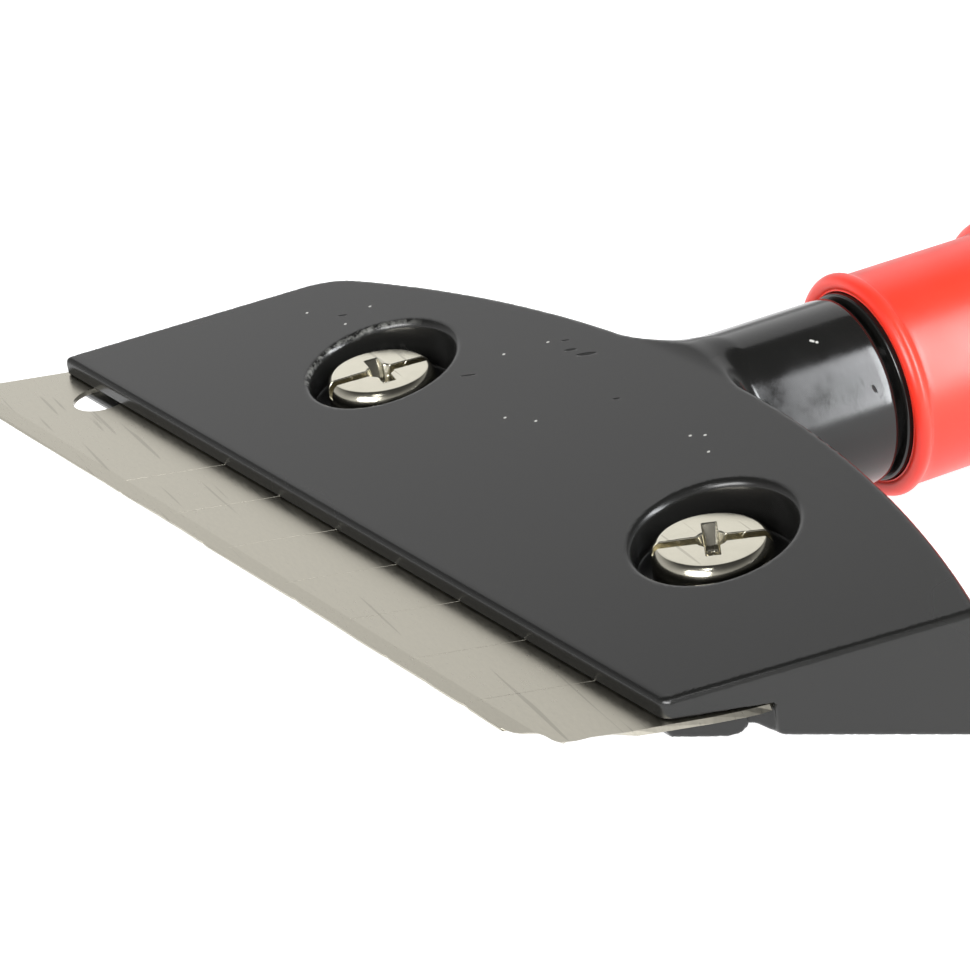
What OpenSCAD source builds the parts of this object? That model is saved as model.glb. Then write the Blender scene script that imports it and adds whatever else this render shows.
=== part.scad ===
// Razor blade scraper: a skewed cast head that clamps a snap-off blade with
// two pan-head screws and a clamp plate, on a short tube handle with a red grip.
// The origin is the centre of the hanging hole on the handle's axis. The handle
// runs along Y, the cutting edge faces -Y and the head's top faces +Z.

/* [Blade] */
// Length of the blade along its cutting edge
blade_l = 101.9; // [98:0.1:104]
// Width of the blade from the cutting edge to its back
blade_w = 18; // [17.8:0.1:18.2]
// Thickness of the blade
blade_t = 0.5; // [0.4:0.05:0.6]
// Spacing of the snap-off lines along the edge
snap_pitch = 10; // [9:0.5:11]
// Number of snap-off lines
snap_count = 7; // [5:1:8]
// Diameter of the hole in the blade's tail
tail_hole_d = 5.6; // [4:0.1:6.5]

/* [Head] */
// Angle of the head's ends and of the blade's ends to the cutting edge
skew = 60; // [58:0.5:62]
// Slope of the head's top face against the blade
top_slope = 9.2; // [8:0.1:10.5]
// Height of the front lip above the blade
lip_h = 1.884; // [1.6:0.01:2.2]
// How far the blade stands out in front of the head
reach = 9.9; // [9:0.1:10.5]
// Radius of the arched back of the head, seen from above
arch_r = 122; // [118:0.5:126]
// Thickness of the head's outer walls
wall = 3; // [2.4:0.1:3.4]
// Thickness of the head's top skin
skin = 3; // [2.6:0.1:3.4]
// Angle by which the handle dips behind the blade
dip = 0.97; // [0:0.01:3]
// Angle by which the handle leans to the right, behind the blade
lean = 9.26; // [7:0.01:11]

/* [Screws] */
// Diameter of the screw heads
screw_head_d = 10.7; // [9.6:0.1:11]
// Height of the screw heads
screw_head_h = 2.98; // [2.4:0.01:3.2]
// Outside diameter of the screw thread
screw_d = 5.94; // [5.8:0.01:5.96]
// Diameter of the pockets around the screw heads
pocket_d = 14.8; // [14:0.1:15.6]
// Direction of the right screw's slot, against the cutting edge
slot_right = 55; // [0:5:90]
// Direction of the left screw's slot, against the cutting edge
slot_left = 75; // [0:5:90]

/* [Handle] */
// Diameter of the cast neck
neck_d = 18.7; // [18.4:0.1:19]
// Outside diameter of the handle tube
tube_d = 18; // [17.6:0.1:18.2]
// Wall thickness of the handle tube
tube_wall = 1.5; // [1.2:0.1:1.8]
// Diameter of the grip's straight collar
grip_d = 21.6; // [21.4:0.1:22]
// Diameter of the grip at the middle of the hand
palm_d = 24.4; // [23.6:0.1:25]
// Diameter over the rolled ring at the grip's mouth
mouth_d = 22.6; // [22.4:0.1:23]
// Diameter over the two rings that bound the hand section
ring_d = 23.8; // [23.4:0.1:24.4]
// Diameter of the hanging hole
hang_d = 6; // [5:0.1:7]
// Thickness of the flattened tail around the hanging hole
tail_t = 14; // [12:0.5:16]

/* [Hidden] */

$fn = 96;
cot = cos(skew) / sin(skew);

// Stations along the handle's axis, counted from the cutting edge
hang_y = 182.5;
neck_end = 62.2;
neck_round = 0.9;
rim_y = 62.65;
rim_r = 9.5;
ring1_y = 63.75;
ring2_y = 81.25;
ring3_y = 168;
mouth_tube = 0.85;
ring_tube = 1.15;
tube_start = 66;
tube_end = 171;
tail_y = 174.5;

// The point where the handle's axis leaves the head, in the blade's frame, and
// its station along the axis
root = [-33.36, 44.45, -0.906];
root_y = 45;

// Walls of the head at the edge line, seen from above the blade
x_right = -0.316;
x_left = -101.77;
arch_x = -33.8;
arch_y = 44.85 - arch_r;
front_y = reach;
seat_back = blade_w + 0.03;
gap = 0.02;

// Pocket centres in the blade's plane; both screws sit a little off them,
// because the clamp plate that holds them isn't quite centred
pocket_y = front_y + 18.14;
pocket_x = [-61.9, -9.66];
screw_y = pocket_y - 0.15;
screw_x = [for (x = pocket_x) x - 0.35];
floor_z = 1;
boss_z = -1.5;

// Underside of the head: a plane that falls towards the back
under_y = 12.19;
under_z = -1.83;
under_slope = 12.6;

// The blade's own frame: origin at the right tip of the edge, X along the
// edge, Y back across the blade, Z off its upper face
module blade_frame() {
    translate([0, root_y - hang_y, 0]) rotate([dip, 0, 0]) rotate([0, 0, lean])
        translate(-root) children();
}

// The handle's frame: Y along the axis, counted from near the cutting edge
module handle_frame() {
    translate([0, -hang_y, 0]) children();
}

// Skewed strip from y0 to y1 that stays "inset" inside both end walls
module strip(y0, y1, inset) {
    i = inset / sin(skew);
    polygon([
        [x_left + i + y0 * cot, y0], [x_right - i + y0 * cot, y0],
        [x_right - i + y1 * cot, y1], [x_left + i + y1 * cot, y1]
    ]);
}

// The same strip, closed at the back by the head's arch
module arched(y0, y1, inset) {
    intersection() {
        strip(y0, y1, inset);
        translate([arch_x, arch_y]) circle(r = arch_r - inset, $fn = 180);
    }
}

// Prism of a flat outline, along the blade's normal
module upright(z0, z1) {
    translate([0, 0, z0]) linear_extrude(height = z1 - z0) children();
}

// Prism of a side profile given as [y, z], along the cutting edge
module across(x0, x1) {
    translate([x0, 0, 0]) rotate([90, 0, 90]) linear_extrude(height = x1 - x0) children();
}

// All that lies above the head's sloping top face, or above a face "depth" under it
module above_top(depth) {
    translate([0, front_y, lip_h]) rotate([top_slope, 0, 0])
        translate([-160, -60, -depth]) cube([320, 160, 60]);
}

// All that lies below the sloping underside, raised by "lift"
module below_under(lift) {
    translate([0, under_y, under_z + lift]) rotate([-under_slope, 0, 0])
        translate([-160, -60, -60]) cube([320, 160, 60]);
}

// Cylinder on the screw axis number i
module on_screw(i, z0, z1, r) {
    translate([screw_x[i], screw_y, z0]) cylinder(h = z1 - z0, r = r);
}

// Upright cylinder at the centre of pocket i
module on_pocket(i, z0, z1, r) {
    translate([pocket_x[i], pocket_y, z0]) cylinder(h = z1 - z0, r = r);
}

// Cylinder along the handle's axis
module on_axis(y0, y1, r) {
    translate([0, y0, 0]) rotate([-90, 0, 0]) cylinder(h = y1 - y0, r = r);
}

// Plate with its skirts, hollow underneath for the clamp plate
module head_plate() {
    difference() {
        upright(-12, 14) arched(front_y, 46, 0);
        above_top(0);
        below_under(0);
        // the seat over the blade, open to the front and both ends
        translate([-160, 0, -blade_t - 0.03]) cube([320, seat_back, blade_t + 0.06]);
        translate([-160, 0, -30]) cube([320, 16.15, 30 - blade_t]);
        // toes under the blade's back corners, set in from the end walls
        upright(-12, -blade_t - 0.02) difference() {
            strip(16, seat_back, -2);
            strip(15, seat_back + 1, 0.6);
        }
        across(-160, 160) polygon([
            [14, -1.87], [16.75, -1.87], [20.5, -5.07], [20.5, -12], [14, -12]
        ]);
        underside_recess();
        for (i = [0, 1]) {
            on_pocket(i, floor_z, 20, pocket_d / 2);
            on_screw(i, -10, 10, 3.3);
        }
    }
}

// The hollow under the head, less its ribs and screw bosses
module underside_recess() {
    difference() {
        upright(-14, 12) arched(15, 36.3, wall);
        above_top(skin);
        // rib behind the blade's back edge
        translate([-160, seat_back, -0.6]) cube([320, 2, 12]);
        // rib that the clamp plate's heel bears on
        translate([-160, 33.2, boss_z]) cube([320, 5, 14]);
        for (i = [0, 1]) on_pocket(i, boss_z, 14, pocket_d / 2 + 1.4);
    }
}

// Round neck that grows out of the plate's back, with its rounded end
module neck_body() {
    r = neck_d / 2;
    difference() {
        union() {
            on_axis(37.2, neck_end - neck_round, r);
            translate([0, neck_end - neck_round, 0]) rotate([-90, 0, 0]) rotate_extrude() {
                square([r - neck_round, neck_round]);
                intersection() {
                    translate([r - neck_round, 0]) circle(r = neck_round);
                    square([r, neck_round]);
                }
            }
        }
        // the underside runs forward into the head in one flat ramp
        translate([-30, 37.2, -6.2]) rotate([-22, 0, 0]) translate([0, -20, -20]) cube([60, 60, 20]);
    }
}

module head_casting() {
    color([0.09, 0.09, 0.09]) {
        difference() {
            union() {
                blade_frame() head_plate();
                handle_frame() difference() {
                    neck_body();
                    translate([0, hang_y, 0]) blade_frame() {
                        above_top(0);
                        upright(-14, 12) arched(10, 36.3, -2);
                    }
                }
                handle_frame() {
                    on_axis(neck_end - 2, rim_y, 8.5);
                    on_axis(rim_y, tube_start, rim_r);
                    on_axis(tube_start - 1, 99, tube_d / 2 - tube_wall);
                    translate([0, 99, 0]) rotate([-90, 0, 0])
                        cylinder(h = 1.5, r1 = tube_d / 2 - tube_wall, r2 = tube_d / 2 - tube_wall - 1.2);
                }
            }
            // cross hole for the pin that holds the tube
            handle_frame() translate([-20, 84, 0]) rotate([0, 90, 0]) cylinder(h = 40, r = 2);
        }
    }
}

// Clamp plate: a full-width jaw under the blade, a narrower body between the
// skirts, and a heel at the back
module clamp_plate() {
    top = -blade_t - gap;
    color([0.13, 0.13, 0.13]) blade_frame() difference() {
        union() {
            intersection() {
                across(-120, 60) polygon([
                    [10.1, top], [10, -0.86], [10.4, -1.6], [12.35, -2.02],
                    [14.4, -2.42], [14.95, -2.42], [15.5, -2.16],
                    [15.8, -1.84], [15.97, -1.62], [16, top]
                ]);
                upright(-10, 2) strip(9, 17, 0);
            }
            intersection() {
                across(-120, 60) polygon([
                    [15, top], [17.7, top], [18.7, -1.78], [33, -1.78],
                    [33.5, boss_z - gap], [36, boss_z - gap], [36, -6.5], [15, -2.38]
                ]);
                upright(-10, 2) arched(14.9, 35.4, wall + 0.4);
            }
        }
        // tapped holes for both screws
        for (i = [0, 1]) on_screw(i, -10, 0, 3.02);
    }
}

// Snap-off blade with scored lines, a ground edge and a tail hole
module blade() {
    e = blade_w * cot;
    color([0.72, 0.71, 0.68]) blade_frame() difference() {
        upright(-blade_t, 0) polygon([
            [0, 0], [e, blade_w], [e - blade_l, blade_w], [-blade_l, 0]
        ]);
        // ground bevels on both faces along the edge
        translate([-130, 0, 0]) rotate([90, 0, 90]) linear_extrude(height = 160) {
            polygon([[-1, 0.1], [-0.01, -blade_t / 2 + 0.02], [1.6, 0], [1.6, 0.1]]);
            polygon([[-1, -blade_t - 0.1], [-0.01, -blade_t / 2 - 0.02], [1.6, -blade_t], [1.6, -blade_t - 0.1]]);
        }
        for (i = [1:snap_count])
            translate([-i * snap_pitch, 0, -0.1]) rotate([0, 0, skew])
                translate([-2, -0.07, 0]) cube([26, 0.14, 1]);
        translate([-87.5, 9.2, -2]) cylinder(h = 4, r = tail_hole_d / 2);
    }
}

// Side outline of a screw: head with a rounded edge, plain neck, thread rings
module screw_body() {
    r = screw_head_d / 2;
    s = screw_d / 2;
    h = screw_head_h;
    z0 = floor_z + gap;
    translate([0, 0, z0]) rotate_extrude() {
        square([r, h - 0.8]);
        square([r - 0.8, h]);
        translate([r - 0.8, h - 0.8]) circle(r = 0.8);
    }
    rotate_extrude() polygon(concat(
        [[0, z0 + 0.5], [s, z0 + 0.5], [s, -1.2]],
        [for (k = [0:2]) each [[s - 0.5, -1.55 - k], [s, -1.95 - k], [s, -2.2 - k]]],
        [[s - 0.6, -4.75], [0, -4.75]]
    ));
}

// Clamp screw i with its slot turned by "turn"
module clamp_screw(i, turn) {
    top = floor_z + gap + screw_head_h;
    color([0.8, 0.77, 0.7]) blade_frame() translate([screw_x[i], screw_y, 0]) difference() {
        screw_body();
        rotate([0, 0, turn]) {
            translate([-10, -0.6, top - 1.15]) cube([20, 1.2, 3]);
            translate([-0.6, -3, top - 1.15]) cube([1.2, 6, 3]);
            translate([0, 0, top - 1.9]) cylinder(h = 3, r = 1.1);
        }
    }
}

module clamp_screw_left() { clamp_screw(0, slot_left); }

module clamp_screw_right() { clamp_screw(1, slot_right); }

// Steel tube that the neck's spigot plugs into
module handle_tube() {
    color([0.6, 0.61, 0.62]) handle_frame() difference() {
        on_axis(tube_start, tube_end, tube_d / 2);
        on_axis(tube_start - 1, tube_end + 1, tube_d / 2 - tube_wall);
        translate([-20, 84, 0]) rotate([0, 90, 0]) cylinder(h = 40, r = 2);
    }
}

// Cross pin through tube and spigot
module tube_pin() {
    color([0.5, 0.5, 0.52]) handle_frame()
        translate([-8.6, 84, 0]) rotate([0, 90, 0]) cylinder(h = 17.2, r = 2);
}

// Radius of the hand section, a shallow crown between two ring stations
function palm_r(u) = grip_d / 2 + 0.35 + (palm_d / 2 - grip_d / 2 - 0.35) * sin(180 * u);

// Red sleeve: rolled ring at the mouth, straight collar, second ring, crowned
// hand section, closed flattened tail with the hanging hole
module grip() {
    g = grip_d / 2;
    n = 16;
    y2 = ring2_y;
    y3 = ring3_y;
    color([0.93, 0.3, 0.22]) handle_frame() difference() {
        union() {
            on_axis(ring1_y, ring2_y + 1, g);
            translate([0, ring1_y, 0]) rotate([-90, 0, 0]) rotate_extrude()
                translate([mouth_d / 2 - mouth_tube, 0]) circle(r = mouth_tube, $fn = 48);
            for (y = [y2, y3]) translate([0, y, 0]) rotate([-90, 0, 0]) rotate_extrude()
                translate([ring_d / 2 - ring_tube, 0]) circle(r = ring_tube, $fn = 48);
            translate([0, y2, 0]) rotate([-90, 0, 0]) rotate_extrude() polygon(concat(
                [[0, 0]],
                [for (k = [0:n]) [palm_r(k / n), (y3 - y2) * k / n]],
                [[0, y3 - y2]]
            ));
            // tail: a round bar that ends in a dome, flattened on both sides
            on_axis(y3 - 1, 181, g);
            translate([0, 181, 0]) intersection() {
                sphere(r = g);
                translate([-20, -0.5, -20]) cube([40, 30, 40]);
            }
        }
        for (s = [-1, 1]) translate([s > 0 ? tail_t / 2 : -tail_t / 2 - 20, tail_y, -20])
            cube([20, 30, 40]);
        on_axis(40, tube_end, tube_d / 2);
        on_axis(40, tube_start, rim_r + 0.12);
        translate([-20, hang_y, 0]) rotate([0, 90, 0]) cylinder(h = 40, r = hang_d / 2);
    }
}

head_casting();
clamp_plate();
blade();
clamp_screw_left();
clamp_screw_right();
handle_tube();
tube_pin();
grip();
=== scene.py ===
import math

import bpy
import bmesh
import numpy as np
from mathutils import Matrix, Vector


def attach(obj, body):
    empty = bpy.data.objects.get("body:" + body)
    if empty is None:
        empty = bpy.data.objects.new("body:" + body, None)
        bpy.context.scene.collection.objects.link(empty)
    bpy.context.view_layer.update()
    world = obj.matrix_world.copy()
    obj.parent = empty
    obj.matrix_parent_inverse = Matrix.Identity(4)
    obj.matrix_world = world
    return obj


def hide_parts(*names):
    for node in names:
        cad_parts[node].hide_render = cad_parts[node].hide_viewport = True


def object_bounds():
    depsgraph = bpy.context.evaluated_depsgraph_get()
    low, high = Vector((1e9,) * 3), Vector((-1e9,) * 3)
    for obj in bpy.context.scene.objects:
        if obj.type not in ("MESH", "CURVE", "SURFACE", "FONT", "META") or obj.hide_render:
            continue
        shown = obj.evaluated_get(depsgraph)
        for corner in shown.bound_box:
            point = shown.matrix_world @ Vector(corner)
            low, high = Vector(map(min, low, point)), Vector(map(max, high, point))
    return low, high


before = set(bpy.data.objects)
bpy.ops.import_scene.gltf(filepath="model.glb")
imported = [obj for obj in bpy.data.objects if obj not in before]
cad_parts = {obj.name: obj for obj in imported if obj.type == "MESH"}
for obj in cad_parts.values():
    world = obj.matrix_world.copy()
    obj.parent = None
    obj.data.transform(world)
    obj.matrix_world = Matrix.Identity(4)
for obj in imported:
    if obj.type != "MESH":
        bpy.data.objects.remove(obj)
CAD_LO, CAD_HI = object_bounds()

# ---------------------------------------------------------------------------
# Frames. The blade's own frame has its origin at the right tip of the cutting
# edge, X along the edge, Y back across the blade and Z off its upper face.
# The handle's frame has Y along the handle, counted from the cutting edge.
# Both are in millimetres; the scene is in metres in the part's frame.
# ---------------------------------------------------------------------------
DIP, LEAN = math.radians(0.97), math.radians(9.26)
CD, SD, CL, SL = math.cos(DIP), math.sin(DIP), math.cos(LEAN), math.sin(LEAN)
ROOT, ROOT_Y, HANG = (-33.36, 44.45, -0.906), 45.0, 182.5
SKEW = math.radians(60)
COT, SK = 1 / math.tan(SKEW), math.sin(SKEW)
SLOPE = math.radians(9.2)
# pocket centres, and each screw's axis and slot direction
POCKETS = ((-61.9, 28.04), (-9.66, 28.04))
SCREWS = {"left": (-62.25, 27.89, 75.0), "right": (-10.01, 27.89, 55.0)}
X_RIGHT, X_LEFT = -0.316, -101.77


def turned(x, y, z):
    """Directions of the blade's frame seen in the handle's frame."""
    a, b = x * CL - y * SL, x * SL + y * CL
    return a, b * CD - z * SD, b * SD + z * CD


def blade_to_handle(x, y, z):
    a, b, c = turned(x - ROOT[0], y - ROOT[1], z - ROOT[2])
    return a, b + ROOT_Y, c


def blade_to_part(v):
    v = np.asarray(v, float)
    a, b, c = blade_to_handle(v[..., 0], v[..., 1], v[..., 2])
    return np.stack([a, b - HANG, c], -1) / 1000


def handle_to_part(v):
    v = np.asarray(v, float)
    return np.stack([v[..., 0], v[..., 1] - HANG, v[..., 2]], -1) / 1000


def turn_blade_to_part(n):
    n = np.asarray(n, float)
    return np.stack(turned(n[..., 0], n[..., 1], n[..., 2]), -1)


# ---------------------------------------------------------------------------
# Solids as distance functions, with round and fillet joins
# ---------------------------------------------------------------------------
def meet(a, b, r=0.0):
    """Intersection of two distances with an edge radius r."""
    if np.isscalar(r) and r <= 0:
        return np.maximum(a, b)
    u, v = np.maximum(a + r, 0), np.maximum(b + r, 0)
    return np.minimum(-r, np.maximum(a, b)) + np.sqrt(u * u + v * v)


def join(a, b, r=0.0):
    """Union of two distances with a fillet radius r."""
    return -meet(-a, -b, r)


def cut(a, b, r=0.0):
    """a without b, with an edge radius r."""
    return meet(a, -b, r)


def surface(field, lo, hi, h, smooth=3, steps=3):
    """Closed quad mesh of field(x, y, z) = 0 inside the box, by surface nets, drawn onto the true surface."""
    n = [int(math.ceil((hi[i] - lo[i]) / h)) + 1 for i in range(3)]
    ax = [lo[i] + h * np.arange(n[i]) for i in range(3)]
    g = np.empty(n, np.float32)
    for j in range(0, n[1], 24):
        ys = ax[1][j:j + 24]
        X, Y, Z = np.meshgrid(ax[0], ys, ax[2], indexing="ij")
        g[:, j:j + 24, :] = field(X, Y, Z)
    g[0], g[-1], g[:, 0], g[:, -1], g[:, :, 0], g[:, :, -1] = (np.maximum(s, 1e-3) for s in (g[0], g[-1], g[:, 0], g[:, -1], g[:, :, 0], g[:, :, -1]))
    s = g < 0
    corners = [(i, j, k) for i in (0, 1) for j in (0, 1) for k in (0, 1)]

    def part(a, c):
        return a[c[0]:a.shape[0] - 1 + c[0], c[1]:a.shape[1] - 1 + c[1], c[2]:a.shape[2] - 1 + c[2]]

    count = sum(part(s, c).astype(np.uint8) for c in corners)
    active = (count > 0) & (count < 8)
    idx = -np.ones(active.shape, np.int64)
    cells = np.argwhere(active)
    idx[active] = np.arange(len(cells))
    total, hits = np.zeros((len(cells), 3)), np.zeros(len(cells))
    vals = {c: g[cells[:, 0] + c[0], cells[:, 1] + c[1], cells[:, 2] + c[2]].astype(float) for c in corners}
    for a in corners:
        for axis in range(3):
            if a[axis]:
                continue
            b = list(a)
            b[axis] = 1
            va, vb = vals[a], vals[tuple(b)]
            m = (va < 0) != (vb < 0)
            t = np.where(m, va / np.where(m, va - vb, 1), 0)
            p = np.array(a, float)[None, :].repeat(len(cells), 0)
            p[:, axis] += t
            total += p * m[:, None]
            hits += m
    v = (cells + total / hits[:, None]) * h + np.array(lo)
    quads = []
    for axis in range(3):
        o1, o2 = [(1, 2), (2, 0), (0, 1)][axis]
        sl_a, sl_b = [slice(None)] * 3, [slice(None)] * 3
        sl_a[axis], sl_b[axis] = slice(0, -1), slice(1, None)
        a, b = s[tuple(sl_a)], s[tuple(sl_b)]
        e = np.argwhere(a != b)
        inside_first = a[e[:, 0], e[:, 1], e[:, 2]]
        ok = (e[:, o1] > 0) & (e[:, o2] > 0) & (e[:, o1] < n[o1] - 1) & (e[:, o2] < n[o2] - 1)
        e, inside_first = e[ok], inside_first[ok]
        ring = []
        for d1, d2 in ((-1, -1), (0, -1), (0, 0), (-1, 0)):
            c = e.copy()
            c[:, o1] += d1
            c[:, o2] += d2
            ring.append(idx[c[:, 0], c[:, 1], c[:, 2]])
        q = np.stack(ring, 1)
        q[~inside_first] = q[~inside_first][:, ::-1]
        quads.append(q)
    q = np.concatenate(quads)
    v = settle(field, v, h, steps)
    e = np.concatenate([q[:, [0, 1]], q[:, [1, 2]], q[:, [2, 3]], q[:, [3, 0]]])
    for _ in range(smooth):
        acc, deg = np.zeros_like(v), np.zeros(len(v))
        for i, j in ((0, 1), (1, 0)):
            np.add.at(acc, e[:, i], v[e[:, j]])
            np.add.at(deg, e[:, i], 1)
        v = settle(field, v + 0.5 * (acc / np.maximum(deg, 1)[:, None] - v), h, 2)
    return v, q


def slope_of(field, v, d=0.02):
    out = np.zeros_like(v)
    for i in range(3):
        a, b = v.copy(), v.copy()
        a[:, i] += d
        b[:, i] -= d
        out[:, i] = (field(*a.T) - field(*b.T)) / (2 * d)
    return out


def settle(field, v, h, steps):
    for _ in range(steps):
        gr = slope_of(field, v)
        k = field(*v.T) / np.maximum((gr * gr).sum(1), 0.2)
        step = -gr * k[:, None]
        size = np.linalg.norm(step, axis=1)
        step *= np.minimum(1, 0.6 * h / np.maximum(size, 1e-9))[:, None]
        v = v + step
    return v


def make_object(name, verts, faces, smooth=True):
    me = bpy.data.meshes.new(name)
    me.from_pydata([tuple(p) for p in verts], [], [tuple(int(i) for i in f) for f in faces])
    me.validate()
    me.update()
    ob = bpy.data.objects.new(name, me)
    bpy.context.scene.collection.objects.link(ob)
    if smooth:
        me.polygons.foreach_set("use_smooth", [True] * len(me.polygons))
    return ob


def apply_modifiers(ob):
    dg = bpy.context.evaluated_depsgraph_get()
    me = bpy.data.meshes.new_from_object(ob.evaluated_get(dg))
    old = ob.data
    ob.modifiers.clear()
    ob.data = me
    bpy.data.meshes.remove(old)


def field_object(name, field, lo, hi, h, place, turn, ratio=1.0):
    """Object of a distance field: meshed, thinned, and shaded by the field's own slope."""
    v, q = surface(field, lo, hi, h)
    ob = make_object(name, v, q)
    if ratio < 1:
        mod = ob.modifiers.new("thin", "DECIMATE")
        mod.ratio = ratio
        apply_modifiers(ob)
    me = ob.data
    co = np.empty(len(me.vertices) * 3)
    me.vertices.foreach_get("co", co)
    co = settle(field, co.reshape(-1, 3), h, 2)
    n = slope_of(field, co, 0.03)
    n /= np.maximum(np.linalg.norm(n, axis=1), 1e-9)[:, None]
    n = turn(n)
    me.vertices.foreach_set("co", place(co).ravel())
    me.update()
    me.polygons.foreach_set("use_smooth", [True] * len(me.polygons))
    me.normals_split_custom_set_from_vertices([tuple(a) for a in n])
    return ob


# ---------------------------------------------------------------------------
# The casting: plate, skirts, pockets, neck and collar
# ---------------------------------------------------------------------------
def walls(x, y):
    right = (x - X_RIGHT - y * COT) * SK
    left = -(x - X_LEFT - y * COT) * SK
    return left, right


def top_face(y, z):
    return ((z - 1.884) - math.tan(SLOPE) * (y - 9.9)) * math.cos(SLOPE)


def casting(x, y, z):
    left, right = walls(x, y)
    arch = np.hypot(x + 33.8, y + 77.15) - 122.0
    outline = meet(meet(right, arch, 0.9), meet(left, arch, 2.0))
    outline = meet(outline, 9.9 - y, 0.75)
    top = top_face(y, z)
    under = -((z + 1.83) + 0.2235 * (y - 12.19)) * math.cos(math.radians(12.6))
    plate = meet(outline, under, 0.4)
    ends = np.maximum(left, right)
    # the neck, in the handle's frame, grows out of the plate's back
    xh, yh, zh = blade_to_handle(x, y, z)
    rad = np.hypot(xh, zh)
    neck = np.maximum(rad - 9.35, yh - 61.2)
    rise = -((zh + 6.2) + math.tan(math.radians(22)) * (yh - 37.2)) * math.cos(math.radians(22))
    neck = meet(neck, rise, 2.5)
    neck = np.maximum(neck, 36.9 - yh)
    w = np.clip((y - 44.2) / 3.5, 0, 1)
    top2 = top - 0.09 * np.maximum(y - 44.3, 0) ** 2
    web = 2.2 + 1.9 * np.clip((ROOT[0] + 2 - x) / 4, 0, 1)
    body = meet(join(plate, neck, web), top2, 0.6 + 1.2 * w * w * (3 - 2 * w))
    # the blade's seat, open in front and at both ends, and the toes behind it
    seat = np.maximum(y - 18.03, np.maximum(z - 0.03, -(z + 0.53)))
    front = np.maximum(y - 16.15, z - 0.03)
    toe = np.maximum(np.maximum(y - 18.03, z + 0.4), -(ends + 0.6))
    body = cut(body, np.minimum(np.minimum(seat, front), toe), 0.12)
    ramp = ((z + 1.87) + 0.853 * (y - 16.75)) * math.cos(math.radians(40.5))
    body = cut(body, np.maximum(meet(ramp, z + 1.87, 0.2), z + 0.45), 0.25)
    # hollow underneath, with the rib behind the blade, the heel rib and the screw bosses
    hollow = meet(np.maximum(ends + 3, y - 36.3), np.maximum(arch + 3, top + 3), 0.8)
    hollow = np.maximum(hollow, -np.maximum(np.abs(y - 19.03) - 1, -0.6 - z))
    hollow = np.maximum(hollow, -np.maximum(33.2 - y, -1.5 - z))
    for px, py in POCKETS:
        r = np.hypot(x - px, y - py)
        hollow = np.maximum(hollow, -np.maximum(r - 9.0, -1.5 - z))
    body = cut(body, hollow, 0.35)
    for px, py in POCKETS:
        r = np.hypot(x - px, y - py)
        body = cut(body, meet(r - 7.35, 1.0 - z, 0.5), 0.7)
    for sx, sy, _ in SCREWS.values():
        body = np.maximum(body, 3.3 - np.hypot(x - sx, y - sy))
    return body


head = field_object("head", casting, (-98.5, 8.9, -10.5), (22.5, 64.5, 13.2), 0.34, blade_to_part, turn_blade_to_part, 0.55)
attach(head, "head")
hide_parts("head_casting")


def arc(cy, cr, r, a0, a1, n=8):
    """Points of an arc in a lathe profile, angles in degrees from the axis direction."""
    return [(cy + r * math.cos(math.radians(a0 + (a1 - a0) * k / n)), cr + r * math.sin(math.radians(a0 + (a1 - a0) * k / n)))
            for k in range(n + 1)]


def lathe(name, profile, segments, place=handle_to_part, soft=35):
    """Closed ring of revolution round the handle's axis from a closed profile of (station, radius)."""
    bm = bmesh.new()
    rows = []
    for k in range(segments):
        a = 2 * math.pi * k / segments
        pts = place(np.array([(r * math.cos(a), st, r * math.sin(a)) for st, r in profile]))
        rows.append([bm.verts.new(tuple(q)) for q in pts])
    n = len(profile)
    for k in range(segments):
        p, q = rows[k], rows[(k + 1) % segments]
        for i in range(n):
            j = (i + 1) % n
            bm.faces.new((p[i], q[i], q[j], p[j]))
    bmesh.ops.recalc_face_normals(bm, faces=bm.faces)
    for f in bm.faces:
        f.smooth = True
    for e in bm.edges:
        e.smooth = e.calc_face_angle(0) < math.radians(soft)
    me = bpy.data.meshes.new(name)
    bm.to_mesh(me)
    bm.free()
    ob = bpy.data.objects.new(name, me)
    bpy.context.scene.collection.objects.link(ob)
    return ob


# the neck's rounded end, the dark groove and the rim that fills the grip's mouth
rim = [(60.2, 6.0), (60.2, 9.352), (60.7, 9.352)] + arc(61.3, 8.452, 0.9, 90, 0, 12) + [(62.2, 8.3), (62.65, 8.3), (62.65, 9.2)]
rim += arc(62.9, 9.25, 0.25, 180, 90, 6) + [(63.6, 9.5), (66.0, 9.5), (66.0, 6.0)]
neck_end = lathe("neck_end", rim, 224)
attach(neck_end, "head")
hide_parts("head_casting")


def spigot(x, y, z):
    rad = np.hypot(x, z)
    return np.maximum(meet(rad - 7.45, y - 100.4, 1.0), 65.9 - y)


neck_spigot = field_object("neck_spigot", spigot, (-9, 63.5, -9), (9, 102, 9), 0.6, handle_to_part, lambda n: n, 0.5)
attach(neck_spigot, "head")
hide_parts("head_casting")


# ---------------------------------------------------------------------------
# Clamp plate
# ---------------------------------------------------------------------------
def polygon_distance(u, v, pts):
    """Signed distance to a closed polygon in the plane (u, v)."""
    d = np.full(np.shape(u), 1e9)
    inside = np.zeros(np.shape(u), bool)
    for (x1, y1), (x2, y2) in zip(pts, pts[1:] + pts[:1]):
        ex, ey = x2 - x1, y2 - y1
        t = np.clip(((u - x1) * ex + (v - y1) * ey) / (ex * ex + ey * ey), 0, 1)
        d = np.minimum(d, (u - x1 - t * ex) ** 2 + (v - y1 - t * ey) ** 2)
        if y1 != y2:
            inside ^= ((y1 > v) != (y2 > v)) & (u < (x2 - x1) * (v - y1) / (y2 - y1) + x1)
    d = np.sqrt(d)
    return np.where(inside, -d, d)


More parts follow.
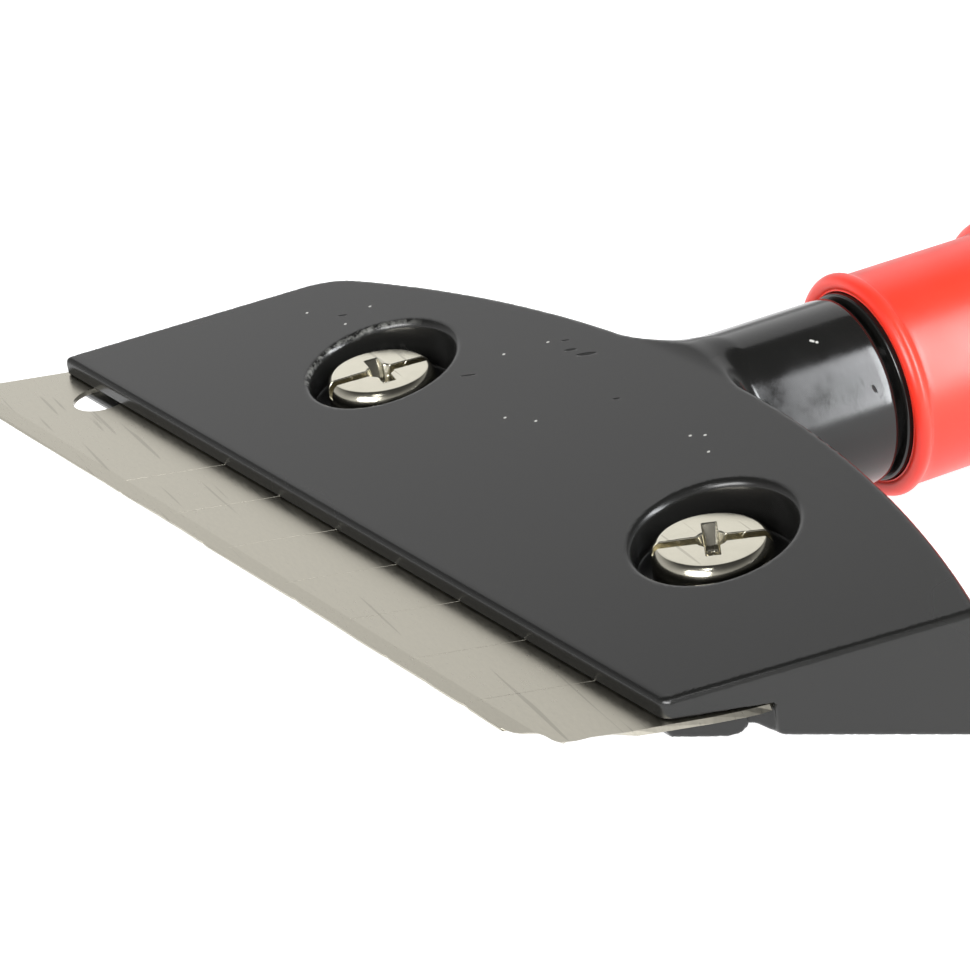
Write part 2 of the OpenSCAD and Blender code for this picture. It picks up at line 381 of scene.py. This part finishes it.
JAW = [(10.1, -0.52), (10.0, -0.86), (10.4, -1.6), (12.35, -2.02), (14.4, -2.42), (14.95, -2.42),
       (15.5, -2.16), (15.8, -1.84), (15.97, -1.62), (16.0, -0.52)]
BODY = [(15.0, -0.52), (17.7, -0.52), (18.7, -1.78), (33.0, -1.78), (33.5, -1.52), (35.4, -1.52),
        (35.4, -6.38), (15.0, -2.38)]


def clamp(x, y, z):
    left, right = walls(x, y)
    ends = np.maximum(left, right)
    # the plate sits a touch askew: its lip stands further forward at the left
    shift = 0.5 * np.clip((-x - 10) / 80, 0, 1) * np.clip((12.4 - y) / 2.4, 0, 1)
    jaw = meet(polygon_distance(y + shift, z, JAW), ends, 0.25)
    arch = np.hypot(x + 33.8, y + 77.15) - 118.6
    inner = meet(np.maximum(arch, ends + 3.4), polygon_distance(y, z, BODY), 0.3)
    body = np.minimum(jaw, inner)
    for sx, sy, _ in SCREWS.values():
        body = cut(body, np.hypot(x - sx, y - sy) - 3.02, 0.2)
    return body


jaw = field_object("clamp_jaw", clamp, (-97.5, 9.0, -7.2), (17.5, 36.2, 0.4), 0.3, blade_to_part, turn_blade_to_part, 0.5)
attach(jaw, "clamp")
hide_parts("clamp_plate")


# ---------------------------------------------------------------------------
# Screws: pan heads with a slot across the top and a cross recess
# ---------------------------------------------------------------------------
def screw_field(turn):
    c, s = math.cos(math.radians(turn)), math.sin(math.radians(turn))

    def f(x, y, z):
        r = np.hypot(x, y)
        u, w = x * c + y * s, -x * s + y * c
        head = meet(r - 5.45, z - 4.22 + 0.002 * r * r, 1.5)
        head = meet(head, z - 3.97 + 0.002 * r * r, 0.06)
        head = meet(head, 1.02 - z, 0.15)
        # slot right across, its floor a little lower at the ends
        slot = np.maximum(np.abs(w) - 0.55, 2.95 - z - 0.02 * u * u)
        head = cut(head, slot, 0.1)
        # cross recess: wings that run out toward their ends, and a deeper middle
        deep = 3.97 - z
        wing = np.maximum(np.abs(u) - (0.66 - 0.12 * deep), np.abs(w) - (3.0 - 0.75 * deep))
        head = cut(head, np.maximum(wing, 2.3 - z), 0.1)
        wing2 = np.maximum(np.abs(w) - (0.6 - 0.1 * deep), np.abs(u) - (3.0 - 0.75 * deep))
        head = cut(head, np.maximum(wing2, 2.3 - z), 0.1)
        head = cut(head, np.maximum(r - (1.4 - 0.35 * deep), 1.9 - z), 0.15)
        shank = np.maximum(meet(r - 2.95, -4.7 - z, 0.5), z - 1.5)
        ring = np.abs((z + 1.7) - np.round(z + 1.7)) * 2
        groove = np.where(z < -1.4, 0.5 * (1 - ring), 0)
        shank = shank + groove * 0.9
        return np.minimum(head, shank)

    return f


def make_screw(side):
    sx, sy, turn = SCREWS[side]
    off = np.array([sx, sy, 0.0])
    ob = field_object("screw_" + side, screw_field(turn), (-5.6, -5.6, -5.1), (5.6, 5.6, 4.3), 0.1,
                      lambda v: blade_to_part(v + off), turn_blade_to_part, 0.5)
    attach(ob, "screw_" + side)
    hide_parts("clamp_screw_" + side)
    return ob


screw_left, screw_right = make_screw("left"), make_screw("right")


# ---------------------------------------------------------------------------
# Blade: ground edge with nicks, a chipped right tip, scored lines, tail hole
# ---------------------------------------------------------------------------
def plate_from_outline(name, pts, under, z0, z1):
    bm = bmesh.new()
    low = [bm.verts.new((x, y, z0)) for x, y in under]
    high = [bm.verts.new((x, y, z1)) for x, y in pts]
    bm.faces.new(high)
    bm.faces.new(low[::-1])
    k = len(pts)
    for i in range(k):
        j = (i + 1) % k
        bm.faces.new((low[i], low[j], high[j], high[i]))
    bmesh.ops.recalc_face_normals(bm, faces=bm.faces)
    me = bpy.data.meshes.new(name)
    bm.to_mesh(me)
    bm.free()
    ob = bpy.data.objects.new(name, me)
    bpy.context.scene.collection.objects.link(ob)
    return ob


def carve(ob, tool):
    mod = ob.modifiers.new("carve", "BOOLEAN")
    mod.operation, mod.solver, mod.object = "DIFFERENCE", "EXACT", tool
    apply_modifiers(ob)
    bpy.data.objects.remove(tool)


BLADE_L = 101.9
# the worn cutting edge from its right end to the left: (x, depth of the nick)
WEAR = [(-4.3, 0.18), (-6.2, 0.2), (-9.0, 0.27), (-9.6, 0.38), (-10.1, 0.32), (-10.6, 0.27), (-14.0, 0.27), (-15.4, 0.33),
        (-20.5, 0.28), (-21.0, 0.28), (-21.4, 0.38), (-21.9, 0.27), (-25.6, 0.24), (-30.6, 0.33), (-35.7, 0.33), (-36.3, 0.42),
        (-36.8, 0.32), (-40.8, 0.26), (-45.9, 0.21), (-51.0, 0.16), (-52.0, 0.2), (-52.3, 0.32), (-52.9, 0.26), (-56.0, 0.32),
        (-61.0, 0.28), (-66.0, 0.16), (-67.5, 0.17), (-67.8, 0.26), (-68.2, 0.17), (-71.0, 0.2), (-76.0, 0.12), (-81.0, 0.1),
        (-86.5, 0.02), (-BLADE_L, 0.0)]
# the broken tip, seen from above, and the right end behind it: (station, offset of the upper edge, of the lower edge)
TIP = [(-3.64, 0.17), (-2.85, 0.4), (-2.23, 0.78), (-1.79, 1.27), (-1.27, 1.72), (-0.45, 1.93), (0.62, 1.96), (1.41, 2.19)]
END = [(2.75, 0.22, -0.7), (3.2, 0.36, -0.6), (3.84, 0.26, -0.7), (4.5, 0.12, -0.8), (5.6, 0.2, -0.7), (6.3, 0.25, -0.6), (7.0, 0.33, -0.1),
       (7.6, 0.28, 0.33), (9.0, 0.2, 0.38), (13.2, 0.13, 0.4), (15.6, -0.1, 0.24), (16.6, -0.32, 0.1), (17.6, -0.5, -0.25)]
outline = TIP[::-1] + WEAR + [(-BLADE_L + 18 * COT, 18.0), (18 * COT - 0.9, 18.0)] + [(y * COT + e, y) for y, e, _ in END[::-1]]
under = [(x - 0.3, y + 0.5) for x, y in TIP[::-1]] + WEAR + [(-BLADE_L + 18 * COT, 18.0), (18 * COT - 0.9, 18.0)]
under += [(y * COT + e, y) for y, _, e in END[::-1]]
blade = plate_from_outline("blade_leaf", outline, under, -0.5, 0.0)
for zs in (1, -1):
    # ground bevel on each face along the edge
    bm = bmesh.new()
    a, b = (-0.25 + zs * 0.1, -0.25 + zs * 0.25)
    sec = [(-1.0, -0.25 - zs * 0.05), (0.0, -0.25 + zs * 0.03), (0.25, a), (1.7, b), (1.7, b + zs * 0.4), (-1.0, b + zs * 0.4)]
    ring1 = [bm.verts.new((-130, y, z)) for y, z in sec]
    ring2 = [bm.verts.new((30, y, z)) for y, z in sec]
    bm.faces.new(ring1)
    bm.faces.new(ring2[::-1])
    for i in range(len(sec)):
        j = (i + 1) % len(sec)
        bm.faces.new((ring1[j], ring1[i], ring2[i], ring2[j]))
    bmesh.ops.recalc_face_normals(bm, faces=bm.faces)
    me = bpy.data.meshes.new("grind")
    bm.to_mesh(me)
    bm.free()
    tool = bpy.data.objects.new("grind", me)
    bpy.context.scene.collection.objects.link(tool)
    carve(blade, tool)
for i in range(1, 8):
    # scored line: a shallow V across the upper face
    bm = bmesh.new()
    c, s = math.cos(SKEW), math.sin(SKEW)
    p0 = np.array([-10.0 * i - 2 * c, -2 * s])
    p1 = np.array([-10.0 * i + 24 * c, 24 * s])
    side = np.array([s, -c]) * 0.05
    v = []
    for p in (p0, p1):
        for q, z in ((p - side, 0.03), (p + side, 0.03), (p, -0.045)):
            v.append(bm.verts.new((q[0], q[1], z)))
    bm.faces.new((v[0], v[1], v[2]))
    bm.faces.new((v[5], v[4], v[3]))
    bm.faces.new((v[0], v[3], v[4], v[1]))
    bm.faces.new((v[1], v[4], v[5], v[2]))
    bm.faces.new((v[2], v[5], v[3], v[0]))
    bmesh.ops.recalc_face_normals(bm, faces=bm.faces)
    me = bpy.data.meshes.new("score")
    bm.to_mesh(me)
    bm.free()
    tool = bpy.data.objects.new("score", me)
    bpy.context.scene.collection.objects.link(tool)
    carve(blade, tool)
bm = bmesh.new()
bmesh.ops.create_cone(bm, cap_ends=True, segments=64, radius1=2.8, radius2=2.8, depth=4, matrix=Matrix.Translation((-87.5, 9.2, 0)))
me = bpy.data.meshes.new("hole")
bm.to_mesh(me)
bm.free()
tool = bpy.data.objects.new("hole", me)
bpy.context.scene.collection.objects.link(tool)
carve(blade, tool)
co = np.empty(len(blade.data.vertices) * 3)
blade.data.vertices.foreach_get("co", co)
blade.data.vertices.foreach_set("co", blade_to_part(co.reshape(-1, 3)).ravel())
blade.data.update()
blade.name = "blade_leaf"
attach(blade, "blade_body")
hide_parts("blade")


# ---------------------------------------------------------------------------
# Grip: rolled rings, collar, crowned hand section, flattened tail with a hole
# ---------------------------------------------------------------------------
def palm(st):
    return 11.15 + 1.05 * math.sin(math.pi * (st - 81.25) / (168 - 81.25))


sleeve = [(70.0, 9.02), (66.05, 9.02), (66.05, 9.62), (63.2, 9.62)]
# rolled ring at the mouth, a small fillet, the straight collar
sleeve += arc(63.75, 10.45, 0.85, 235, 40, 18) + [(64.55, 10.86), (64.8, 10.8), (65.4, 10.8), (67, 10.8), (70, 10.8), (74, 10.8), (78.6, 10.8)]
# second ring
sleeve += [(79.5, 10.82), (79.9, 10.9), (80.12, 11.02)] + arc(81.25, 10.75, 1.15, 160, 25, 14)
sleeve += [(82.4, 11.22), (82.8, palm(82.8))]
sleeve += [(82.8 + k * (166.3 - 82.8) / 40, palm(82.8 + k * (166.3 - 82.8) / 40)) for k in range(1, 41)]
sleeve += [(167.2, 11.1), (169.0, 10.4), (169.0, 9.02)]
grip_front = lathe("grip_sleeve", sleeve, 224)
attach(grip_front, "head")
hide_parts("grip")


def tail_field(x, y, z):
    rad = np.hypot(x, z)
    bar = meet(rad - 10.8, 166.9 - y, 0.1)
    dome = np.sqrt(rad * rad + np.maximum(y - 181, 0) ** 2) - 10.8
    bar = np.maximum(bar, np.where(y > 181, dome, -1))
    bar = join(bar, np.hypot(rad - 10.75, y - 168.0) - 1.15, 0.35)
    bar = cut(bar, np.maximum(7.0 - np.abs(x), 174.5 - y), 0.8)
    bar = cut(bar, np.hypot(y - 182.5, z) - 3.0, 0.5)
    bar = cut(bar, np.maximum(rad - 9.02, y - 171.0), 0.0)
    return bar


tail = field_object("grip_tail", tail_field, (-13, 166.0, -13), (13, 192.6, 13), 0.34, handle_to_part, lambda n: n, 0.6)
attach(tail, "head")
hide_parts("grip")


# ---------------------------------------------------------------------------
# Materials
# ---------------------------------------------------------------------------
def new_material(name):
    m = bpy.data.materials.new(name)
    m.use_nodes = True
    nt = m.node_tree
    nt.nodes.clear()
    out = nt.nodes.new("ShaderNodeOutputMaterial")
    b = nt.nodes.new("ShaderNodeBsdfPrincipled")
    nt.links.new(b.outputs[0], out.inputs[0])
    return m, nt, b


class Net:
    """Short hand for building node trees."""

    def __init__(self, nt):
        self.nt = nt
        self.pos = self.add("ShaderNodeTexCoord").outputs["Object"]

    def add(self, kind, **props):
        n = self.nt.nodes.new(kind)
        for k, v in props.items():
            setattr(n, k, v)
        return n

    def link(self, a, b):
        self.nt.links.new(a, b)

    def set(self, sock, v):
        if hasattr(v, "is_linked") or isinstance(v, bpy.types.NodeSocket):
            self.link(v, sock)
        else:
            sock.default_value = v

    def math(self, op, a, b=0.0, c=None, clamp=False):
        n = self.add("ShaderNodeMath", operation=op, use_clamp=clamp)
        self.set(n.inputs[0], a)
        self.set(n.inputs[1], b)
        if c is not None:
            self.set(n.inputs[2], c)
        return n.outputs[0]

    def vmath(self, op, a, b=(0, 0, 0)):
        n = self.add("ShaderNodeVectorMath", operation=op)
        self.set(n.inputs[0], a)
        self.set(n.inputs[1], b)
        return n.outputs["Value"] if op in ("LENGTH", "DISTANCE", "DOT_PRODUCT") else n.outputs["Vector"]

    def noise(self, scale, detail=2.0, rough=0.5, vec=None, dist=0.0):
        n = self.add("ShaderNodeTexNoise")
        self.set(n.inputs["Vector"], self.pos if vec is None else vec)
        n.inputs["Scale"].default_value = scale
        n.inputs["Detail"].default_value = detail
        n.inputs["Roughness"].default_value = rough
        n.inputs["Distortion"].default_value = dist
        return n.outputs[0]

    def cells(self, scale, vec=None, feature="F1"):
        n = self.add("ShaderNodeTexVoronoi", feature=feature)
        self.set(n.inputs["Vector"], self.pos if vec is None else vec)
        n.inputs["Scale"].default_value = scale
        return n

    def remap(self, v, a, b, c=0.0, d=1.0, smooth=False):
        n = self.add("ShaderNodeMapRange", interpolation_type="SMOOTHSTEP" if smooth else "LINEAR")
        self.set(n.inputs[0], v)
        for i, x in enumerate((a, b, c, d)):
            n.inputs[i + 1].default_value = x
        return n.outputs[0]

    def mix(self, f, a, b):
        n = self.add("ShaderNodeMix", data_type="RGBA")
        self.set(n.inputs[0], f)
        self.set(n.inputs[6], a)
        self.set(n.inputs[7], b)
        return n.outputs[2]

    def split(self, v):
        n = self.add("ShaderNodeSeparateXYZ")
        self.set(n.inputs[0], v)
        return n.outputs

    def scale(self, s):
        n = self.add("ShaderNodeMapping")
        self.set(n.inputs[0], self.pos)
        n.inputs[3].default_value = s
        return n.outputs[0]

    def bump(self, height, strength, distance, normal=None):
        n = self.add("ShaderNodeBump")
        n.inputs["Strength"].default_value = strength
        n.inputs["Distance"].default_value = distance
        self.set(n.inputs["Height"], height)
        if normal is not None:
            self.link(normal, n.inputs["Normal"])
        return n.outputs[0]


# marks on the head in millimetres: pale specks, and pits as (place, half length, half width)
SPECKS = ((-16.44, -149.18, 6.77), (-6.02, -154.42, 5.57), (-3.01, -152.64, 5.8), (-14.72, -145.12, 7.44), (11.21, -143.86, 6.99),
          (12.24, -142.88, 7.14), (14.87, -144.04, 6.86), (-41.42, -159.57, 5.58), (-35.78, -157.72, 5.76), (-36.76, -154.41, 6.37),
          (-26.26, -177.12, 2.07), (3.86, -126.44, 8.51), (3.98, -126.3, 8.46), (4.21, -126.02, 8.35))
PITS = (((-11.5, -144.3), 0.6, 0.2), ((-9.5, -143.6), 1.0, 0.26), ((-13.5, -143.8), 0.4, 0.12), ((-15.9, -153.4), 0.8, 0.12),
        ((-37.6, -157.2), 0.5, 0.13), ((0.0, -145.5), 0.38, 0.16), ((6.9, -135.4), 0.28, 0.13), ((8.46, -122.62), 0.22, 0.12))
GRAIN = math.radians(51)


def black_paint(name, base, rough, marks=False, gloss_from=None):
    m, nt, b = new_material(name)
    n = Net(nt)
    along = n.add("ShaderNodeMapping")
    n.set(along.inputs[0], n.pos)
    along.inputs[2].default_value = (0, 0, -GRAIN)
    along.inputs[3].default_value = (0.28, 1, 1)
    fine = n.noise(2600, 2, 0.5)
    runs = n.noise(900, 2, 0.5, vec=along.outputs[0])
    cloud = n.noise(38, 3, 0.5)
    col = n.mix(n.remap(cloud, 0.3, 0.7), (base[0] * 0.9, base[1] * 0.9, base[2] * 0.9, 1), (base[0] * 1.12, base[1] * 1.12, base[2] * 1.1, 1))
    r = n.remap(cloud, 0.3, 0.7, rough - 0.02, rough + 0.02)
    # sparse short runs in the coat, stronger in some places
    dash = n.math("MULTIPLY", n.remap(runs, 0.62, 0.74, 0, 1), n.remap(n.noise(70, 2, 0.5), 0.45, 0.65, 0.15, 1))
    h = n.math("ADD", n.math("MULTIPLY", fine, 0.12), n.math("MULTIPLY", dash, 0.5))
    if gloss_from is not None:
        # stations straight back from the cutting edge
        y = n.vmath("DOT_PRODUCT", n.pos, (-SL, CL, 0))
        glossy = n.remap(y, gloss_from[0], gloss_from[1], 0, 1, smooth=True)
        mixer = n.add("ShaderNodeMix", data_type="FLOAT")
        n.set(mixer.inputs[0], glossy)
        n.set(mixer.inputs[2], r)
        # scuffs make the gloss uneven
        n.set(mixer.inputs[3], n.remap(n.noise(260, 4, 0.65, vec=along.outputs[0]), 0.35, 0.7, 0.10, 0.22))
        r = mixer.outputs[0]
    if marks:
        near = None
        for p in SPECKS:
            d = n.vmath("DISTANCE", n.pos, tuple(c / 1000 for c in p))
            near = d if near is None else n.math("MINIMUM", near, d)
        dust = n.remap(near, 0.00011, 0.00019, 1, 0)
        pit = None
        for (px, py), a, w in PITS:
            rel = n.vmath("SUBTRACT", n.pos, (px / 1000, py / 1000, 0))
            u = n.vmath("DOT_PRODUCT", rel, (math.cos(GRAIN) * 1000 / a, math.sin(GRAIN) * 1000 / a, 0))
            v = n.vmath("DOT_PRODUCT", rel, (-math.sin(GRAIN) * 1000 / w, math.cos(GRAIN) * 1000 / w, 0))
            d = n.math("SQRT", n.math("MULTIPLY_ADD", u, u, n.math("MULTIPLY", v, v)))
            k = n.remap(d, 0.5, 1.25, 1, 0, smooth=True)
            pit = k if pit is None else n.math("MAXIMUM", pit, k)
        # only on the upper side
        pit = n.math("MULTIPLY", pit, n.remap(n.vmath("DOT_PRODUCT", n.pos, (0, 0, 1)), 0.0, 0.001, 0, 1))
        # pale rim of the left pocket, on its far left side: partly chafed paint, partly a painted highlight where the
        # rim catches the light
        cx, cy, cz = blade_to_part((POCKETS[0][0], POCKETS[0][1], 4.0))
        rel = n.vmath("SUBTRACT", n.pos, (cx, cy, 0))
        flat = n.vmath("MULTIPLY", rel, (1, 1, 0))
        dist = n.vmath("LENGTH", flat)
        side = n.math("DIVIDE", n.vmath("DOT_PRODUCT", flat, (math.cos(math.radians(190)), math.sin(math.radians(190)), 0)), dist)
        ring = n.math("MULTIPLY", n.remap(dist, 0.00735, 0.0075, 0, 1), n.remap(dist, 0.0080, 0.0077, 0, 1))
        chafe_and_highlight = n.math("MULTIPLY", n.math("MULTIPLY", ring, n.remap(side, 0.35, 0.7, 0, 1)), n.remap(n.noise(1500, 3, 0.6), 0.44, 0.66, 0, 1))
        # pale colour and rougher coat from the dust specks and from the rim's chafe and painted highlight
        pale = n.math("MAXIMUM", n.math("MULTIPLY", dust, 0.75), n.math("MULTIPLY", chafe_and_highlight, 0.26))
        col = n.mix(pale, col, (0.62, 0.62, 0.58, 1))
        r = n.math("MAXIMUM", r, n.math("MAXIMUM", n.math("MULTIPLY", pit, 0.8), n.math("MULTIPLY", pale, 0.7)))
        h = n.math("SUBTRACT", h, n.math("MULTIPLY", pit, 7.0))
    n.link(col, b.inputs["Base Color"])
    n.link(r, b.inputs["Roughness"])
    b.inputs["Specular IOR Level"].default_value = 0.5
    n.link(n.bump(h, 0.3, 0.00004), b.inputs["Normal"])
    return m


head_mat = black_paint("satin_black_paint", (0.009, 0.009, 0.0085), 0.26, marks=True, gloss_from=(-0.1365, -0.1320))
jaw_mat = black_paint("clamp_black_paint", (0.011, 0.011, 0.0105), 0.30)
head.data.materials.clear()
head.data.materials.append(head_mat)
neck_end.data.materials.append(head_mat)
neck_spigot.data.materials.append(head_mat)
jaw.data.materials.append(jaw_mat)


def steel(name, base, rough, scale, aniso=0.4, axis=(1, 1, 1)):
    m, nt, b = new_material(name)
    n = Net(nt)
    streak = n.noise(scale, 3, 0.6, vec=n.scale(axis))
    cloud = n.noise(60, 3, 0.5)
    f = n.math("ADD", n.math("MULTIPLY", streak, 0.6), n.math("MULTIPLY", cloud, 0.4))
    lo = tuple(c * 0.93 for c in base) + (1,)
    hi = tuple(min(1, c * 1.06) for c in base) + (1,)
    col = n.mix(n.remap(f, 0.35, 0.65), lo, hi)
    # hair scratches
    for turn, cut_at in ((-0.35, 0.70), (0.9, 0.73)):
        hair = n.add("ShaderNodeMapping")
        n.set(hair.inputs[0], n.pos)
        hair.inputs[2].default_value = (0, 0, turn)
        hair.inputs[3].default_value = (0.04, 1, 1)
        k = n.remap(n.noise(1500, 1, 0.4, vec=hair.outputs[0]), cut_at, cut_at + 0.03, 0, 0.5)
        col = n.mix(k, col, tuple(c * 0.6 for c in base) + (1,))
    n.link(col, b.inputs["Base Color"])
    b.inputs["Metallic"].default_value = 1.0
    n.link(n.remap(f, 0.3, 0.7, rough - 0.05, rough + 0.06), b.inputs["Roughness"])
    n.link(n.bump(streak, 0.12, 0.00001), b.inputs["Normal"])
    return m


blade.data.materials.append(steel("blade_steel", (0.48, 0.455, 0.385), 0.30, 900, axis=(1, 3, 1)))
nickel = steel("nickel_plate", (0.62, 0.59, 0.49), 0.18, 500)
screw_left.data.materials.append(nickel)
screw_right.data.materials.append(nickel)
for node, base, rough in (("handle_tube", (0.5, 0.5, 0.5), 0.3), ("tube_pin", (0.42, 0.42, 0.43), 0.35)):
    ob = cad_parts[node]
    ob.data.materials.clear()
    ob.data.materials.append(steel(node + "_steel", base, rough, 700, axis=(1, 0.1, 1)))

m, nt, b = new_material("red_soft_grip")
n = Net(nt)
cloud = n.noise(30, 3, 0.5)
fine = n.noise(1500, 2, 0.5)
mott = n.noise(220, 3, 0.55)
n.link(n.mix(n.remap(cloud, 0.3, 0.7), (0.80, 0.026, 0.014, 1), (0.88, 0.042, 0.022, 1)), b.inputs["Base Color"])
n.link(n.remap(mott, 0.3, 0.7, 0.30, 0.38), b.inputs["Roughness"])
b.inputs["Subsurface Weight"].default_value = 0.12
b.inputs["Subsurface Radius"].default_value = (1.0, 0.25, 0.1)
b.inputs["Subsurface Scale"].default_value = 0.0015
n.link(n.bump(n.math("ADD", n.math("MULTIPLY", fine, 0.3), mott), 0.12, 0.00008), b.inputs["Normal"])
grip_front.data.materials.append(m)
tail.data.materials.append(m)


# ---------------------------------------------------------------------------
# Floor, light and camera
# ---------------------------------------------------------------------------
me = bpy.data.meshes.new("floor")
zf = CAD_LO.z - 0.0002
me.from_pydata([(-4, -4, zf), (4, -4, zf), (4, 4, zf), (-4, 4, zf)], [], [(0, 1, 2, 3)])
floor = bpy.data.objects.new("floor", me)
bpy.context.scene.collection.objects.link(floor)
fm, nt, b = new_material("pale_floor")
b.inputs["Base Color"].default_value = (0.5, 0.5, 0.5, 1)
b.inputs["Roughness"].default_value = 0.9
b.inputs["Specular IOR Level"].default_value = 0.0
b.inputs["Emission Color"].default_value = (1, 1, 1, 1)
b.inputs["Emission Strength"].default_value = 0.86
me.materials.append(fm)

# the room: pale at the horizon, dim overhead
world = bpy.data.worlds.new("studio")
bpy.context.scene.world = world
world.use_nodes = True
wn = world.node_tree
bg = wn.nodes["Background"]
co = wn.nodes.new("ShaderNodeTexCoord")
sep = wn.nodes.new("ShaderNodeSeparateXYZ")
wn.links.new(co.outputs["Generated"], sep.inputs[0])
ramp = wn.nodes.new("ShaderNodeMapRange")
ramp.interpolation_type = "SMOOTHSTEP"
wn.links.new(sep.outputs[2], ramp.inputs[0])
for i, k in enumerate((0.12, 0.85, 0.60, 0.06)):
    ramp.inputs[i + 1].default_value = k
wn.links.new(ramp.outputs[0], bg.inputs[1])
bg.inputs[0].default_value = (1, 1, 1, 1)


def area(name, loc, target, size, power, color=(1, 1, 1)):
    ld = bpy.data.lights.new(name, "AREA")
    ld.shape, ld.size, ld.size_y = "RECTANGLE", size[0], size[1]
    ld.energy, ld.color = power, color
    ob = bpy.data.objects.new(name, ld)
    bpy.context.scene.collection.objects.link(ob)
    ob.location = loc
    ob.rotation_mode = "QUATERNION"
    ob.rotation_quaternion = (Vector(loc) - Vector(target)).to_track_quat("Z", "Y")
    ob.visible_camera = False
    return ob


neck_at = Vector((0.0, -0.126, 0.0))
plate_at = Vector((-0.01, -0.16, 0.0))
area("left_box", plate_at + Vector((-0.80, 0.25, 0.50)), plate_at, (0.9, 0.7), 1.54)
right_at = Vector((0.512, 0.308, 0.3455))
right_box = area("right_box", right_at, right_at - Vector((0.83, 0.0, 0.56)), (0.23, 0.92), 10.6, (0.95, 0.975, 1.0))
right_box.data.shape = "ELLIPSE"
# the narrow box lights the coat, the grip and the floor, and leaves the bare metal alone
coated = bpy.data.collections.new("right_box_lit")
for ob in (floor, head, neck_end, neck_spigot, grip_front, tail):
    coated.objects.link(ob)
right_box.light_linking.receiver_collection = coated
area("front_box", plate_at + Vector((0.45, -0.70, 0.42)), plate_at, (0.6, 0.4), 9.0)
area("top_strip", plate_at + Vector((0.34, -0.31, 0.66)), plate_at, (0.10, 0.10), 0.35)

cam_data = bpy.data.cameras.new("camera")
cam = bpy.data.objects.new("camera", cam_data)
bpy.context.scene.collection.objects.link(cam)
cam_data.sensor_width = 36
cam_data.lens = 124.4995
cam_data.clip_start, cam_data.clip_end = 0.01, 20
axes = Matrix(((0.439556282, -0.3615371103, 0.822241566), (0.8905749037, 0.2945624206, -0.3465679174), (-0.1169043026, 0.8846038086, 0.4514526396)))
cam.matrix_world = Matrix.Translation((0.255875439, -0.267739711, 0.143147858)) @ axes.to_4x4()
bpy.context.scene.camera = cam
bpy.context.scene.view_settings.view_transform = "Standard"
